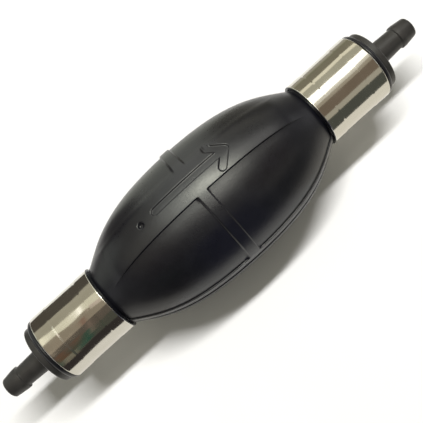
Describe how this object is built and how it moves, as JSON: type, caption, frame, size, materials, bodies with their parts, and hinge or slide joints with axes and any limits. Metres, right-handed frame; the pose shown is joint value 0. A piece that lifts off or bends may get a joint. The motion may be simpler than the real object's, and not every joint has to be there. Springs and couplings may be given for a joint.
{
  "type": "siphon bulb pump",
  "caption": "Rubber squeeze bulb between two crimped metal ferrules, with a hose barb and a one-way valve in each end and a flow arrow on the bulb.",
  "frame": {"origin": "middle of the bulb, on the flow axis", "axes": "+X along the flow axis towards the outlet, the way the arrow points; +Z towards the side of the bulb that carries the arrow, square to the mould's parting plane; +Y completes a right-handed frame"},
  "size_m": [0.1744, 0.0456, 0.0456],
  "materials": {
    "bulb_rubber": "satin moulded black rubber",
    "ferrule_plate": "bright plated sheet metal",
    "fitting_plastic": "satin charcoal moulding",
    "valve_plastic": "natural acetal",
    "seal_rubber": "matte nitrile rubber",
    "spring_steel": "bright drawn wire"
  },
  "bodies": {
    "bulb_with_ends": {"bulb": "bulb_rubber", "inlet_ferrule": "ferrule_plate", "inlet_fitting": "fitting_plastic", "inlet_valve_seat": "valve_plastic", "inlet_valve_cage": "valve_plastic", "inlet_valve_spring": "spring_steel", "inlet_o_ring": "seal_rubber", "inlet_retaining_ring": "valve_plastic", "outlet_ferrule": "ferrule_plate", "outlet_fitting": "fitting_plastic", "outlet_valve_seat": "valve_plastic", "outlet_valve_cage": "valve_plastic", "outlet_valve_spring": "spring_steel", "outlet_o_ring": "seal_rubber", "outlet_retaining_ring": "valve_plastic"},
    "upper_wall": {"upper_wall": "bulb_rubber"},
    "lower_wall": {"lower_wall": "bulb_rubber"},
    "inlet_poppet": {"inlet_poppet": "valve_plastic", "inlet_poppet_seal": "seal_rubber"},
    "outlet_poppet": {"outlet_poppet": "valve_plastic", "outlet_poppet_seal": "seal_rubber"}
  },
  "joints": [
    {"name": "upper_squeeze", "type": "slide", "parent": "bulb_with_ends", "child": "upper_wall", "axis": [0, 0, -1], "range_m": [0, 0.008], "stiffness_N_per_m": 2000, "springref_m": -0.0015},
    {"name": "lower_squeeze", "type": "slide", "parent": "bulb_with_ends", "child": "lower_wall", "axis": [0, 0, 1], "range_m": [0, 0.008], "stiffness_N_per_m": 2000, "springref_m": -0.0015},
    {"name": "inlet_valve_lift", "type": "slide", "parent": "bulb_with_ends", "child": "inlet_poppet", "axis": [1, 0, 0], "range_m": [0, 0.0021], "stiffness_N_per_m": 60, "springref_m": -0.0015, "deforming": ["inlet_valve_spring"]},
    {"name": "outlet_valve_lift", "type": "slide", "parent": "bulb_with_ends", "child": "outlet_poppet", "axis": [1, 0, 0], "range_m": [0, 0.0021], "stiffness_N_per_m": 60, "springref_m": -0.0015, "deforming": ["outlet_valve_spring"]}
  ],
  "couplings": [
    {"joint": "lower_squeeze", "follows": "upper_squeeze", "ratio": 1}
  ]
}
